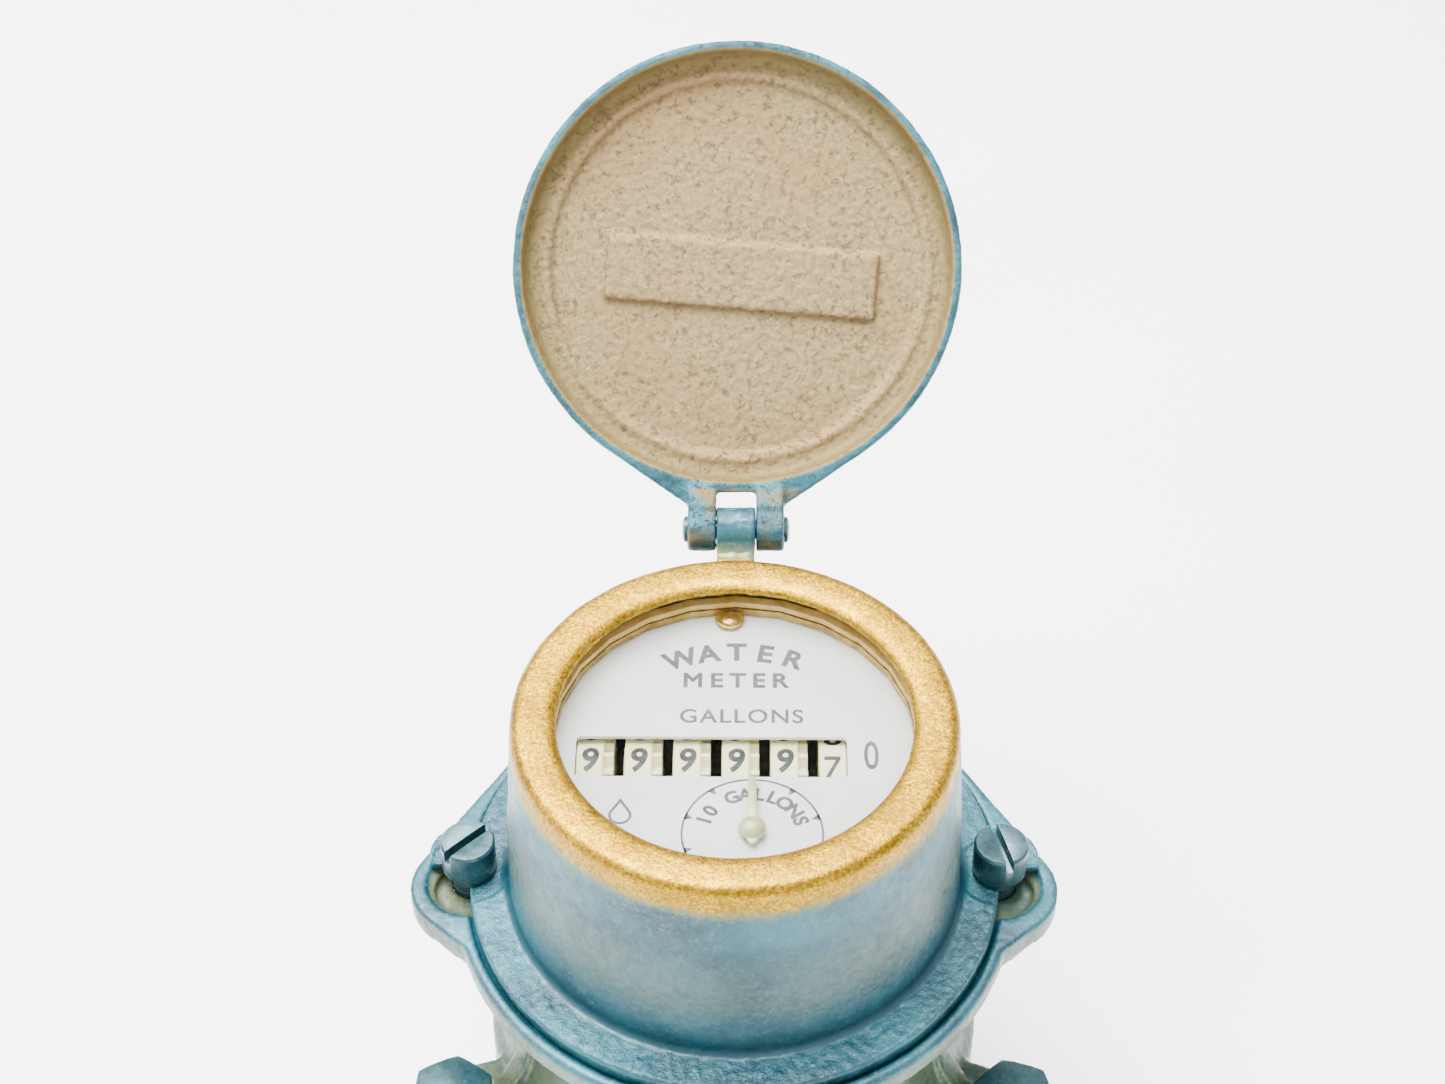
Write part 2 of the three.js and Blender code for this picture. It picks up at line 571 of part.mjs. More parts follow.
add("chamber_bottom", chamberHalf(-1), hardRubber);
add("chamber_top", chamberHalf(1), hardRubber);
add("partition_plate", block(10.3, 42.2, -0.6, 0.6, 23, 55), steel);

function disc() {
  const plate = turned([[0, -1.5], [DISC_R - 0.2, -1.5], [DISC_R, 0], [DISC_R - 0.2, 1.5], [0, 1.5]], 36);
  const ball = new THREE.SphereGeometry(BALL_R, 20, 14).rotateX(90 * RAD);
  const slot = block(9.8, 50, -1.3, 1.3, -20, 20);
  const pinHole = rod(2 + GAP, 3, 20);
  return cut(join(plate, ball), slot, pinHole);
}
const discGroup = groupAt(0, 0, BALL_Z);
discGroup.rotation.y = DISC_TILT * RAD;
add("disc", disc(), hardRubber, discGroup);
add("disc_pin", rod(2, 3.3, 21.5), steel, discGroup);

// ---- Inlet strainer: a thin cup in the inlet bore with a slotted end ----
function strainer() {
  const outline = [[8.4, 0], [9.4, 0], [9.4, 22], [0, 22], [0, 21], [8.4, 21]];
  const slots = [-5, -2.5, 0, 2.5, 5].map((x) => block(x - 0.6, x + 0.6, -6.2, 6.2, 18, 25));
  return cut(turned(outline, 20), ...slots);
}
const inletGroup = groupAt(0, -88, SPUD_Z);
inletGroup.rotation.x = -90 * RAD;
add("strainer", strainer(), brass, inletGroup);

export default meter;
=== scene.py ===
"""A blue painted disc-type water meter with its register lid open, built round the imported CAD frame.

Lengths in the tables are millimetres in the part's frame (+Z up, lid hinge towards +Y) and are
multiplied by MM once, where a mesh is made.
"""
import json
import math

import bmesh
import bpy
from mathutils import Matrix, Vector, noise


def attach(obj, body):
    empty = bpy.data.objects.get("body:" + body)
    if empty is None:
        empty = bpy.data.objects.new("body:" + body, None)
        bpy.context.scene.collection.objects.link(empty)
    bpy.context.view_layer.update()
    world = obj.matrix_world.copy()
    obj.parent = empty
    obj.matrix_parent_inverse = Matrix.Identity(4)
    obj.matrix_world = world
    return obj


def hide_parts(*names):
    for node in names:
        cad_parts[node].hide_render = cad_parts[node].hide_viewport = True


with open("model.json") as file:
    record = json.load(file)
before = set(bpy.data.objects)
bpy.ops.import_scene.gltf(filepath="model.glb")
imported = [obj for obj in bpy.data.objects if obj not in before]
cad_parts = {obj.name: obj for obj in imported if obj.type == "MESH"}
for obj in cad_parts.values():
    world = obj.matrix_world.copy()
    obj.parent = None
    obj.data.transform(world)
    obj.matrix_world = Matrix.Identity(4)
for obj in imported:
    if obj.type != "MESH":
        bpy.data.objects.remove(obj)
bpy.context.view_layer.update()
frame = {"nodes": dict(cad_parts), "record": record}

MM = 0.001
TURN = 2 * math.pi

# ---- Driving dimensions, as in the CAD ----
RING_TOP = 170.0
FLANGE_TOP = 121.7
RIM_TOP = 119.2
RIM_R = 59.2
EAR_X, EAR_Y, EAR_R = 56.0, -2.7, 12.5
PIN_Y, PIN_Z = 56.5, RING_TOP - 3.4
LID_OPEN = math.radians(132)
DIAL_TOP = 160.2
WHEEL_R = 15.5
WHEEL_Y, WHEEL_Z = -3.2, 143.5
WHEEL_X, WHEEL_PITCH, WHEEL_BAND = -32.0, 9.8, 5.6
SHOWN_FIGURES = (9, 9, 9, 9, 9, 7)
POINTER = (3.5, -23.1)
FRONT_LUG, REAR_LUG = (60.2, -30.0), (38.0, 55.5)
LUG_R, LUG_ROOT_R, BOLT_HOLE_R = 9.4, 7.0, 5.8
RECESS_X, RECESS_Y, RECESS_R = 56.4, -2.2, 8.8
HEX_ACROSS, HEX_CHAMFER_R, HEX_CORNER_R = 15.85, 7.9, 9.25
HEAD_LOW, HEAD_HIGH, NUT_H = 0.3, 7.0, 8
SPLIT_Z, LUG_T = 66.5, 9.5
CASE_TOP = SPLIT_Z - 2.0
SPUD_END, SPUD_Z, BORE_R = 136.5, 38.0, 9.8


# ---- Shells: closed surfaces as (corners, faces), in millimetres ----
def lathe(outline, segments=128, at=(0, 0)):
    """Turns a closed outline of (radius, height) corners about Z; radius 0 makes a pole."""
    corners, rings = [], []
    for r, z in outline:
        if r == 0:
            rings.append([len(corners)] * segments)
            corners.append((at[0], at[1], z))
            continue
        rings.append([len(corners) + i for i in range(segments)])
        corners += [
            (at[0] + r * math.cos(TURN * i / segments), at[1] + r * math.sin(TURN * i / segments), z)
            for i in range(segments)
        ]
    faces = []
    for low, high in zip(rings, rings[1:] + rings[:1]):
        for i in range(segments):
            j = (i + 1) % segments
            loop = [low[i], low[j], high[j], high[i]]
            face = [v for k, v in enumerate(loop) if v != loop[k - 1]]
            if len(face) > 2:
                faces.append(face)
    return corners, faces


def prism(outline, low, high):
    """A straight prism over an outline of (x, y) corners."""
    n = len(outline)
    corners = [(x, y, low) for x, y in outline] + [(x, y, high) for x, y in outline]
    sides = [[i, (i + 1) % n, n + (i + 1) % n, n + i] for i in range(n)]
    return corners, [list(range(n))[::-1], list(range(n, 2 * n))] + sides


def moved(shell, matrix):
    return [tuple(matrix @ Vector(c)) for c in shell[0]], shell[1]


def along_x(shell):
    """Stands a shell drawn in (Y, Z) with its depth along X."""
    return [(z, x, y) for x, y, z in shell[0]], shell[1]


def arc(cx, cy, r, start, end, steps=24):
    angles = [math.radians(start + (end - start) * i / steps) for i in range(steps + 1)]
    return [(cx + r * math.cos(a), cy + r * math.sin(a)) for a in angles]


def taper(x1, y1, r1, x2, y2, r2):
    """The outline of two circles and their outer tangents."""
    along = math.degrees(math.atan2(y2 - y1, x2 - x1))
    lean = math.degrees(math.acos((r1 - r2) / math.hypot(x2 - x1, y2 - y1)))
    return arc(x1, y1, r1, along + lean, along - lean + 360) + arc(x2, y2, r2, along - lean, along + lean)


def cylinder(r, low, high, at=(0, 0), segments=48):
    return lathe([(0, low), (r, low), (r, high), (0, high)], segments, at)


def box(x0, x1, y0, y1, z0, z1):
    return prism([(x0, y0), (x1, y0), (x1, y1), (x0, y1)], z0, z1)


def gear_outline(teeth, root, tip):
    pitch = TURN / teeth
    return [
        (r * math.cos((i + share) * pitch), r * math.sin((i + share) * pitch))
        for i in range(teeth)
        for share, r in ((0.23, root), (0.38, tip), (0.62, tip), (0.77, root))
    ]


# ---- Meshes and pieces ----
def mesh_of(name, shells):
    """One mesh in metres of several shells, each with its faces pointing out."""
    corners, faces = [], []
    for shell_corners, shell_faces in shells:
        base = len(corners)
        corners += [tuple(MM * c for c in corner) for corner in shell_corners]
        faces += [[base + v for v in face] for face in shell_faces]
    mesh = bpy.data.meshes.new(name)
    mesh.from_pydata(corners, [], faces)
    tidy = bmesh.new()
    tidy.from_mesh(mesh)
    bmesh.ops.recalc_face_normals(tidy, faces=tidy.faces)
    tidy.to_mesh(mesh)
    tidy.free()
    return mesh


def new_object(name, shells):
    made = bpy.data.objects.new(name, mesh_of(name, shells))
    bpy.context.collection.objects.link(made)
    return made


def taken_apart(piece):
    """Turns an object back into one shell in millimetres, and removes the object."""
    mesh = piece.data
    shell = [tuple(v.co / MM) for v in mesh.vertices], [list(f.vertices) for f in mesh.polygons]
    bpy.data.objects.remove(piece)
    return shell


def apply_modifiers(piece):
    graph = bpy.context.evaluated_depsgraph_get()
    done = bpy.data.meshes.new_from_object(piece.evaluated_get(graph))
    piece.modifiers.clear()
    piece.data = done
    return piece


def smooth(piece, angle=35):
    piece.data.shade_smooth()
    piece.data.set_sharp_from_angle(angle=math.radians(angle))
    return piece


def subtract(piece, cutters):
    """Cuts shells out of a piece."""
    if not cutters:
        return piece
    tool = new_object(f"{piece.name}_tool", cutters)
    cut = piece.modifiers.new("cut", "BOOLEAN")
    cut.operation, cut.solver, cut.object, cut.use_self = "DIFFERENCE", "EXACT", tool, True
    apply_modifiers(piece)
    bpy.data.objects.remove(tool)
    return piece


def bevel(piece, width, angle=30, segments=3):
    rounding = piece.modifiers.new("bevel", "BEVEL")
    rounding.width, rounding.segments, rounding.limit_method = width * MM, segments, "ANGLE"
    rounding.angle_limit = math.radians(angle)
    return apply_modifiers(piece)


def cast(name, shells, cutters, cell, blend=3):
    """Fuses shells into one skin with the soft inner corners of a casting, less the cutters."""
    piece = new_object(name, shells)
    subtract(piece, cutters)
    fuse = piece.modifiers.new("fuse", "REMESH")
    fuse.mode, fuse.voxel_size, fuse.adaptivity = "VOXEL", cell * MM, 0.0
    soften = piece.modifiers.new("soften", "SMOOTH")
    soften.factor, soften.iterations = 0.5, blend
    return smooth(apply_modifiers(piece), 70)


def grain(point, size, seed=0.0):
    """Lumpy noise from -1 to 1 with lumps of about size millimetres."""
    return noise.noise(Vector(point) / size + Vector((seed, -seed, 2 * seed)), noise_basis="PERLIN_NEW")


def roughen(piece, relief):
    """Moves each corner along its normal by relief(point, normal) millimetres."""
    normals = [v.normal.copy() for v in piece.data.vertices]
    for vertex, normal in zip(piece.data.vertices, normals):
        point = vertex.co / MM
        vertex.co += normal * (relief(point, normal) * MM)
    piece.data.update()


def mask(piece, name, value):
    """Stores value(point, normal), 0 to 1, on each corner for the material to read."""
    layer = piece.data.attributes.new(name, "FLOAT", "POINT")
    layer.data.foreach_set("value", [value(v.co / MM, v.normal) for v in piece.data.vertices])


def step(low, high, x):
    t = min(1.0, max(0.0, (x - low) / (high - low)))
    return t * t * (3 - 2 * t)


def show(piece, body, finish, slot, *nodes):
    """Gives a finished piece its material, the body it rides on and the CAD nodes it stands for."""
    piece.data.materials.clear()
    piece.data.materials.append(finish)
    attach(piece, body)
    if nodes:
        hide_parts(*nodes)


# ---- Materials ----
class Shader:
    """A small builder of one node material."""

    def __init__(self, name, roughness=0.5, metallic=0.0, color=(0.8, 0.8, 0.8)):
        self.material = bpy.data.materials.new(name)
        self.material.use_nodes = True
        self.tree = self.material.node_tree
        self.surface = self.tree.nodes["Principled BSDF"]
        self.set("Base Color", (*color, 1)).set("Roughness", roughness).set("Metallic", metallic)
        self.place = self.node("ShaderNodeTexCoord").outputs["Object"]

    def node(self, kind, **inputs):
        made = self.tree.nodes.new(kind)
        for key, value in inputs.items():
            self.feed(made.inputs[key.replace("_", " ")], value)
        return made

    def feed(self, socket, value):
        if isinstance(value, bpy.types.NodeSocket):
            self.tree.links.new(value, socket)
        else:
            socket.default_value = value

    def set(self, name, value):
        self.feed(self.surface.inputs[name], value)
        return self

    def noise(self, size, detail=4.0, roughness=0.6, distortion=0.0):
        """Noise with lumps of about size millimetres."""
        made = self.node(
            "ShaderNodeTexNoise", Vector=self.place, Scale=0.6 / (size * MM), Detail=detail,
            Roughness=roughness, Distortion=distortion,
        )
        return made.outputs["Fac"]

    def stored(self, name):
        made = self.node("ShaderNodeAttribute")
        made.attribute_name = name
        return made.outputs["Fac"]

    def band(self, value, low, high, start=0.0, end=1.0):
        made = self.node("ShaderNodeMapRange")
        made.interpolation_type = "SMOOTHSTEP"
        keys = ("Value", "From Min", "From Max", "To Min", "To Max")
        for key, part in zip(keys, (value, low, high, start, end)):
            self.feed(made.inputs[key], part)
        return made.outputs["Result"]

    def math(self, operation, a, b=0.0):
        made = self.node("ShaderNodeMath")
        made.operation = operation
        self.feed(made.inputs[0], a)
        self.feed(made.inputs[1], b)
        return made.outputs[0]

    def mix(self, amount, a, b):
        made = self.node("ShaderNodeMix")
        made.data_type = "RGBA"
        self.feed(made.inputs["Factor"], amount)
        for socket, value in zip([s for s in made.inputs if s.type == "RGBA"], (a, b)):
            self.feed(socket, value if isinstance(value, bpy.types.NodeSocket) else (*value, 1))
        return next(s for s in made.outputs if s.type == "RGBA")

    def bump(self, height, depth, strength=1.0, below=None):
        """A bump of height times depth millimetres, over another bump."""
        distance = depth if isinstance(depth, bpy.types.NodeSocket) else depth * MM
        made = self.node("ShaderNodeBump", Height=height, Distance=distance, Strength=strength)
        if below is not None:
            self.feed(made.inputs["Normal"], below)
        return made.outputs["Normal"]


def srgb(r, g, b):
    return tuple(((c / 255 + 0.055) / 1.055) ** 2.4 for c in (r, g, b))


BLUE = srgb(32, 92, 104)
DEEP_BLUE = srgb(13, 56, 68)
PALE_BLUE = srgb(76, 124, 128)
OVERSPRAY = srgb(88, 102, 74)
GOLD = srgb(130, 95, 10)
BRIGHT_GOLD = srgb(188, 150, 32)
DARK_BRONZE = srgb(70, 48, 16)
TAN = srgb(118, 99, 64)
LIGHT_TAN = srgb(150, 129, 88)
SOOT = srgb(58, 46, 34)


def painted_casting(name):
    """Metallic blue enamel sprayed over bronze; the stored mask "gold" bares the bronze."""
    s = Shader(name, roughness=0.4, metallic=0.35)
    blotch = s.noise(14, 3)
    fine = s.noise(0.7, 5, 0.7)
    blue = s.mix(s.band(blotch, 0.35, 0.68), DEEP_BLUE, BLUE)
    blue = s.mix(s.band(fine, 0.5, 0.72, 0, 0.55), blue, PALE_BLUE)
    grit = s.noise(0.42, 3, 0.8)
    gold = s.mix(s.band(grit, 0.4, 0.62), GOLD, BRIGHT_GOLD)
    gold = s.mix(s.band(s.noise(5, 4), 0.45, 0.7, 0, 0.55), gold, srgb(120, 86, 14))
    gold = s.mix(s.band(s.noise(2.6, 6, 0.7), 0.64, 0.74, 0, 0.75), gold, DARK_BRONZE)
    speckle = s.math("MULTIPLY", s.math("SUBTRACT", fine, 0.5), 0.9)
    bare = s.math("ADD", s.stored("gold"), speckle)
    haze = s.mix(s.band(bare, 0.12, 0.6), blue, OVERSPRAY)
    colour = s.mix(s.band(bare, 0.42, 0.98), haze, gold)
    flakes = s.math("MULTIPLY", s.math("SUBTRACT", s.noise(2.4, 5, 0.7), 0.5), 1.3)
    chips = s.band(s.math("ADD", s.stored("wear"), flakes), 0.72, 0.78)
    colour = s.mix(chips, colour, GOLD)
    # Painted shade: a stored mask darkens the colour towards deep blue where shade falls.
    s.set("Base Color", s.mix(s.band(s.stored("grime"), 0.1, 1.0, 0, 0.85), colour, DEEP_BLUE))
    s.set("Metallic", s.band(bare, 0.45, 0.9, 0.3, 1.0))
    s.set("Roughness", s.band(s.noise(1.6, 5), 0.3, 0.7, 0.32, 0.5))
    lumpy = s.bump(s.noise(2.2, 4), 0.16, 0.6)
    gritty = s.bump(grit, s.band(bare, 0.5, 0.9, 0.02 * MM, 0.13 * MM), 1.0, lumpy)
    sandy = s.bump(s.noise(0.9, 4, 0.7), s.band(s.stored("sand"), 0, 1, 0.0, 0.4 * MM), 1.0, gritty)
    s.set("Normal", s.bump(fine, 0.09, 0.8, sandy))
    return s.material


def lid_casting():
    """Rough sand-cast bronze inside, painted where the stored mask "paint" says."""
    s = Shader("lid_cast_bronze", roughness=0.6, metallic=0.45)
    fine = s.noise(0.62, 6, 0.8)
    pits = s.band(s.noise(1.1, 6, 0.85, 0.4), 0.55, 0.63)
    bronze = s.mix(s.band(fine, 0.36, 0.66), TAN, LIGHT_TAN)
    bronze = s.mix(s.band(s.noise(24, 2), 0.4, 0.65, 0, 0.5), bronze, srgb(130, 100, 60))
    bronze = s.mix(s.math("MULTIPLY", pits, 0.5), bronze, SOOT)
    bronze = s.mix(s.stored("gold"), bronze, srgb(112, 98, 54))
    blue = s.mix(s.band(s.noise(8, 3), 0.35, 0.65), DEEP_BLUE, BLUE)
    blue = s.mix(s.band(fine, 0.48, 0.74, 0, 0.7), blue, PALE_BLUE)
    speckle = s.math("MULTIPLY", s.math("SUBTRACT", fine, 0.5), 0.8)
    coverage = s.band(s.math("ADD", s.stored("paint"), speckle), 0.32, 0.68)
    s.set("Base Color", s.mix(coverage, bronze, blue))
    s.set("Roughness", s.band(coverage, 0, 1, 0.62, 0.34))
    s.set("Normal", s.bump(fine, 0.24, 1.0, s.bump(pits, -0.16, 0.9)))
    return s.material


def satin_blue():
    """Smoother sprayed blue on machined screws and bolt heads."""
    s = Shader("screw_blue_enamel", roughness=0.32, metallic=0.45)
    fine = s.noise(0.5, 4)
    colour = s.mix(s.band(s.noise(3.5, 4), 0.35, 0.7), srgb(20, 54, 62), srgb(40, 78, 84))
    s.set("Base Color", s.mix(s.band(fine, 0.6, 0.75, 0, 0.5), colour, PALE_BLUE))
    s.set("Roughness", s.band(s.noise(1.2, 4), 0.3, 0.7, 0.24, 0.42))
    s.set("Coat Weight", 0.3).set("Coat Roughness", 0.2)
    s.set("Normal", s.bump(fine, 0.05, 0.7))
    return s.material


def plain(name, light, dark, roughness, metallic=0.0, size=1.5, depth=0.03, **extra):
    """A two-tone material with fine mottling, uneven gloss and a little bump."""
    s = Shader(name, roughness=roughness, metallic=metallic)
    fine = s.noise(size, 5)
    s.set("Base Color", s.mix(s.band(fine, 0.35, 0.68), dark, light))
    s.set("Roughness", s.band(s.noise(size * 3, 4), 0.3, 0.7, roughness * 0.8, min(1, roughness * 1.25)))
    s.set("Normal", s.bump(fine, depth, 0.7))
    for key, value in extra.items():
        s.set(key.replace("_", " "), value)
    return s.material


def clear_glass():
    """Register glass with faint dust."""
    s = Shader("register_glass", roughness=0.03, color=(0.99, 1.0, 0.995))
    s.set("Transmission Weight", 1.0).set("IOR", 1.1).set("Specular IOR Level", 0.5)
    s.set("Roughness", s.band(s.noise(6, 6, 0.8), 0.5, 0.8, 0.02, 0.08))
    return s.material


PAINT = painted_casting("enamelled_bronze")
LID = lid_casting()
SCREW = satin_blue()
GLASS = clear_glass()
BRASS = plain("machined_brass", srgb(180, 152, 84), srgb(140, 112, 52), 0.34, 0.85)
STEEL = plain("turned_steel", srgb(150, 152, 154), srgb(112, 114, 117), 0.36, 0.9, 0.8)
RUBBER = plain("black_rubber", srgb(48, 48, 50), srgb(34, 34, 35), 0.8)
AMBER = plain("amber_rubber", srgb(196, 164, 96), srgb(176, 140, 70), 0.5)
HARD_RUBBER = plain("hard_rubber", srgb(56, 53, 51), srgb(40, 38, 36), 0.5, 0, 2.5)
ENAMEL = plain("white_dial_enamel", srgb(246, 248, 246), srgb(236, 239, 237), 0.38, 0, 9, 0.012)
CREAM = plain("cream_wheel_plastic", srgb(255, 250, 206), srgb(246, 238, 188), 0.5, 0, 3, 0.02)
INK = plain("dial_ink", srgb(92, 98, 100), srgb(70, 75, 78), 0.6, 0, 0.8, 0.01)
FIGURE = plain("wheel_ink", srgb(52, 56, 52), srgb(36, 38, 36), 0.55, 0, 0.8, 0.01)
PALE_GREEN = plain("aged_nickel", srgb(204, 203, 166), srgb(178, 176, 136), 0.42, 0.3, 2, 0.02)
# Painted light: the register plate is coloured pale so that the shaded gaps between the number wheels look
# lit.
PAINTED_LIGHT_PLATE = plain("register_painted_light", srgb(214, 210, 186), srgb(190, 186, 160), 0.7, 0, 2, 0.02)
THREAD = plain("cut_bronze_thread", srgb(156, 112, 48), srgb(112, 76, 28), 0.4, 0.8, 1.2)


# ---- Register box ----
def register_box():
    wall = lathe(
        [
            (43.5, 117.7), (55.4, 117.7), (55.9, 118.2), (55.9, 121.1), (55.4, FLANGE_TOP),
            (48.8, FLANGE_TOP), (48.1, 121.9), (47.6, 123), (46.9, 140), (45.9, 155), (45.3, 163),
        ]
        + arc(42.5, 167.45, 2.5, -5, 90, 12)
        + [
            (40.4, 170.0), (38.4, 169.9), (37.0, 169.6), (36.0, 169.0), (35.6, 168.5), (35.6, 167.5),
            (38.9, 167.4), (38.9, 160), (41.2, 158), (43.5, 122),
        ],
    )
    lug = [corner for corner in arc(0, 3.6, 7.7, 0, 360, 48) if corner[1] > 0.4]
    lugs = [prism([(side * 57.2 + x, y) for x, y in lug], RIM_TOP + 0.3, FLANGE_TOP) for side in (-1, 1)]
    neck = along_x(prism([
        (43.5, 147), (46.0, 147), (48.4, 154), (52.6, 159.8), (56.5, 162.0), (53.5, 165.8),
        (50, 165.2), (44, 165.2),
    ], -4, 4))
    knuckle = along_x(prism(arc(PIN_Y, PIN_Z, 4.75, 0, 345, 40), -4.2, 4.2))
    throat = along_x(prism(taper(PIN_Y, PIN_Z, 4.4, 52.2, 161.6, 3.4), -3.9, 3.9))
    shanks = [cylinder(4.3, 110, 125, (side * EAR_X, 0), 24) for side in (-1, 1)]
    piece = cast("register_box_casting", [wall, *lugs, neck, knuckle, throat], shanks, 0.5, 2)

    def relief(p, n):
        radius = math.hypot(p.x, p.y)
        if radius < 38.5 or (radius < 42.5 and p.z < 166):
            return 0.0
        on_flange = step(48.2, 50.0, radius) * step(120.8, 121.5, p.z) * step(0.7, 0.9, n.z)
        spot = min(math.hypot(abs(p.x) - EAR_X, p.y + 0.6), 20)
        spot_face = on_flange * step(9.3, 8.8, spot)
        on_flange *= step(9.0, 9.8, spot)
        on_ring = step(161, 165, p.z)
        return (
            -0.6 * spot_face
            + 0.34 * on_flange * max(-0.25, grain(p, 1.8)) + 0.12 * on_flange * grain(p, 1.1, 4)
            + 0.05 * grain(p, 1.6, 9) * (1 - on_flange) + 0.05 * on_ring * grain(p, 0.9, 3)
            + 0.12 * (1 - on_flange) * grain(p, 9, 7)
        )

    roughen(piece, relief)

    def gold(p, n):
        radius = math.hypot(p.x, p.y)
        if radius > 48.6 and p.z > 140:
            return 0.62 - 0.75 * step(PIN_Z - 2, PIN_Z + 3, p.z)
        covered = step(159, 166.5, p.z + 0.8 * grain(p, 6, 2))
        aside = abs(p.x) / max(radius, 1)
        drift = 0.27 * step(124, 136, p.z) * step(155, 146, p.z) + 0.1 * grain(p, 11, 5)
        drift += 0.1 * aside * step(124, 134, p.z)
        return max(covered, drift, 1.0 if radius < 38.5 and p.z > 150 else 0.0)

    mask(piece, "gold", gold)
    mask(piece, "wear", lambda p, n: 0.4 * step(55.3, 55.9, math.hypot(p.x, p.y)) * step(119, 121.5, p.z))

    # Painted shade: the vertical wall is darkened towards deep blue, most of all at its foot by the flange.
    def grime(p, n):
        radius = math.hypot(p.x, p.y)
        return step(50.2, 47.8, radius) * (0.6 * step(161, 150, p.z) + 0.4 * step(126, 122, p.z))

    def sand(p, n):
        on_top = step(120.5, 121.3, p.z) * step(140, 130, p.z) * step(0.5, 0.9, n.z)
        return step(48.6, 50.0, math.hypot(p.x, p.y)) * on_top

    mask(piece, "grime", grime)
    mask(piece, "sand", sand)
    show(piece, "case", PAINT, "bronze", "register_box")


# ---- Lid ----
def lid():
    """Drawn closed about its hinge pin, then turned open."""
    rim = RING_TOP - PIN_Z
    centre = (0, -PIN_Y)
    cap = lathe(
        [
            (0, rim + 2.2), (39.3, rim + 2.2), (40.1, rim + 1.9), (40.6, rim + 1.0), (41.6, rim + 0.7),
            (42.8, rim + 1.2), (44.8, rim + 0.9), (45.7, rim - 0.6), (46, rim - 2.2), (46.1, -0.2),
            (46.5, -0.6), (47.8, -0.6), (48.3, -0.1), (48.4, 3.6), (47.9, 5.1), (46.6, 6.3),
            (44, 7.0), (30, 7.9), (0, 8.7),
        ],
        at=centre,
    )
    turn = Matrix.Translation((0.9, -PIN_Y + 1.8, 0)) @ Matrix.Rotation(math.radians(4.5), 4, "Z")
    pad = moved(box(-29.3, 29.3, -7.1, 7.1, rim + 0.8, rim + 2.8), turn)
    ear = [(-10.6, 5.4), (-10.6, -0.5), (-5, -2.9)] + arc(0, 0, 4.6, 218, 450, 26)
    ears = [along_x(prism(ear, *span)) for span in ((-10.4, -4.35), (4.35, 10.4))]
    flare = prism(taper(0, -PIN_Y, 48.2, 0, -9.6, 9.6), -0.6, 5.0)
    trimmed = new_object("lid_flare", [flare])
    subtract(trimmed, [
        cylinder(46.6, -10, 10, centre, 128), box(-4.7, 4.7, -8, 6, -10, 10), box(-30, 30, -5.4, 12, -10, 10),
    ])
    flare = taken_apart(trimmed)
    body = cast("lid_casting", [cap, *ears, flare, pad], [along_x(cylinder(2.3, -20, 20))], 0.5)

    def from_centre(p):
        return math.hypot(p.x, p.y + PIN_Y)

    def relief(p, n):
        inside = step(44.6, 43.4, from_centre(p)) * step(0.2, -0.4, n.z)
        wave = 0.17 * grain(p, 1.3) + 0.13 * grain(p, 0.8, 5) + 0.05 * grain(p, 7, 3)
        outer = 0.10 * grain(p, 1.4, 8) + 0.16 * grain(p, 8, 2)
        return inside * wave + (1 - inside) * outer

    roughen(body, relief)

    def painted(p, n):
        if p.y > -9.0:
            return 0.62 + 0.3 * grain(p, 5)
        facing_in = step(0.35, -0.35, n.z)
        edge = step(46.2, 47.0, from_centre(p))
        return max(edge * 0.72, 1 - facing_in)

    mask(body, "paint", painted)
    mask(body, "gold", lambda p, n: 0.7 * step(41.5, 44.5, from_centre(p)) + 0.5 * step(-14, -9, p.y))
    body.data.transform(Matrix.Translation((0, PIN_Y * MM, PIN_Z * MM)) @ Matrix.Rotation(-LID_OPEN, 4, "X"))
    show(body, "lid", LID, "lid_bronze", "lid")


def hinge_pin():
    outline = [
        (0, -11.5), (1.9, -11.5), (2.7, -11.1), (2.9, -10.4), (2, -10.4),
        (2, 10.4), (2.9, 10.4), (2.7, 11.1), (1.9, 11.5), (0, 11.5),
    ]
    placed = moved(along_x(lathe(outline, 40)), Matrix.Translation((0, PIN_Y, PIN_Z)))
    show(smooth(new_object("hinge_rivet", [placed])), "lid", SCREW, "brass", "hinge_pin")


# ---- Screws and bolts ----
def clamp_screw(side, slot_angle):
    low = FLANGE_TOP + 0.3
    head = [(5.4, 0), (5.75, 0.35), (5.75, 7.6), (5.3, 8.1), (0, 8.2)]
    thread = [(3.9 - 0.35 * (i % 2), -12.6 + 0.6 * i) for i in range(21)]
    body = lathe([(0, -13)] + [(3.2, -13)] + thread + head, 56)
    piece = new_object(f"clamp_screw_{'left' if side < 0 else 'right'}", [body])
    slot_turn = Matrix.Rotation(math.radians(slot_angle), 4, "Z")
    subtract(piece, [moved(box(-9, 9, -0.85, 0.85, 5.0, 9), slot_turn)])
    bevel(piece, 0.18, 50, 2)
    piece.data.transform(Matrix.Translation((side * EAR_X * MM, 0, low * MM)))
    node = "hold_down_screw_left" if side < 0 else "hold_down_screw_right"
    show(smooth(piece), "case", SCREW, "paint", node)


def hexagon(turn=0.0):
    r = HEX_ACROSS / math.sqrt(3)
    return [(r * math.cos(turn + TURN * i / 6), r * math.sin(turn + TURN * i / 6)) for i in range(6)]


def hex_body(name, shells, low, high, top_chamfer, bottom_chamfer):
    """A hexagon with its corners turned off by a cone at either end."""
    piece = new_object(name, shells)
    outside = HEX_CORNER_R + 2
    cones = []
    if top_chamfer:
        cones.append(lathe([(HEX_CHAMFER_R, high + 0.1), (outside, high + 0.1), (outside, high - 1.4)], 64))
    if bottom_chamfer:
        cones.append(lathe([(HEX_CHAMFER_R, low - 0.1), (outside, low + 1.4), (outside, low - 0.1)], 64))
    subtract(piece, cones)
    return bevel(piece, 0.2, 25, 2)


